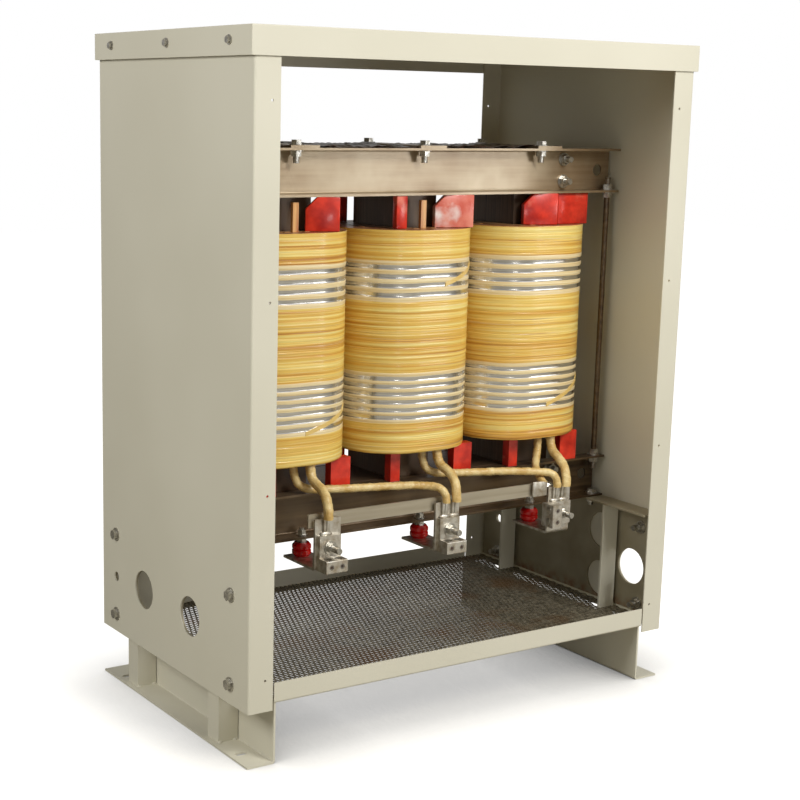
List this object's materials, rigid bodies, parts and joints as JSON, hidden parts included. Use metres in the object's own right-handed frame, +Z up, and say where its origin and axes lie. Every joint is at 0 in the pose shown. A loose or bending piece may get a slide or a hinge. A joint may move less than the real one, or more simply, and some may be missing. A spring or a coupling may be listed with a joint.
{
  "type": "dry type transformer",
  "caption": "Open-fronted floor-standing dry type transformer: sheet steel enclosure, laminated core, taped coils, cable lugs.",
  "frame": {"origin": "on the floor at the middle of the footprint", "axes": "+Z up, +X to the right seen from the front, the open wiring front faces -Y"},
  "size_m": [0.8266, 0.492, 1.045],
  "materials": {
    "enclosure_paint": "powder coat, light beige grey",
    "clamp_steel": "varnished bare steel",
    "core_steel": "varnished laminations",
    "zinc": "zinc plated",
    "mesh_steel": "expanded metal",
    "plate_steel": "thin paint over galvanised steel",
    "winding_tape": "varnished glass tape",
    "inner_winding": "varnished winding",
    "winding_board": "varnished board",
    "duct_stick": "varnished glass polyester",
    "red_block": "red glass polyester",
    "red_insulator": "glossy red insulator",
    "lead_tape": "crepe tape",
    "tinned_aluminium": "dull tinned aluminium"
  },
  "bodies": {
    "root": {"bottom_yoke": "core_steel", "clamp_bolts": "zinc", "core_nuts": "zinc", "cover_screws": "zinc", "duct_sticks": "duct_stick", "floor_mesh": "mesh_steel", "front_beam": "enclosure_paint", "hold_down_bolts": "zinc", "insulator_bolts": "zinc", "insulator_nuts": "zinc", "left_core_leg": "core_steel", "left_end_plate": "plate_steel", "left_foot": "enclosure_paint", "left_inner_winding": "inner_winding", "left_lead": "lead_tape", "left_link": "lead_tape", "left_outer_winding": "winding_tape", "left_posts": "enclosure_paint", "left_side_panel": "enclosure_paint", "left_terminal_bracket": "tinned_aluminium", "left_terminal_lug": "tinned_aluminium", "left_winding_tube": "winding_board", "lower_front_clamp": "clamp_steel", "lower_rear_clamp": "clamp_steel", "lower_support_blocks": "red_block", "middle_core_leg": "core_steel", "middle_inner_winding": "inner_winding", "middle_lead": "lead_tape", "middle_link": "lead_tape", "middle_outer_winding": "winding_tape", "middle_terminal_bracket": "tinned_aluminium", "middle_terminal_lug": "tinned_aluminium", "middle_winding_tube": "winding_board", "panel_bolts": "zinc", "panel_nuts": "zinc", "rear_beam": "enclosure_paint", "return_bar": "tinned_aluminium", "return_lead": "lead_tape", "right_core_leg": "core_steel", "right_end_plate": "plate_steel", "right_foot": "enclosure_paint", "right_inner_winding": "inner_winding", "right_lead": "lead_tape", "right_outer_winding": "winding_tape", "right_posts": "enclosure_paint", "right_side_panel": "enclosure_paint", "right_terminal_bracket": "tinned_aluminium", "right_terminal_lug": "tinned_aluminium", "right_winding_tube": "winding_board", "stand_off_insulators": "red_insulator", "strap_bolts": "zinc", "terminal_nuts": "zinc", "terminal_studs": "zinc", "tie_rods": "clamp_steel", "top_cover": "enclosure_paint", "top_yoke": "core_steel", "upper_front_clamp": "clamp_steel", "upper_rear_clamp": "clamp_steel", "upper_support_blocks": "red_block", "yoke_straps": "clamp_steel"}
  },
  "joints": []
}
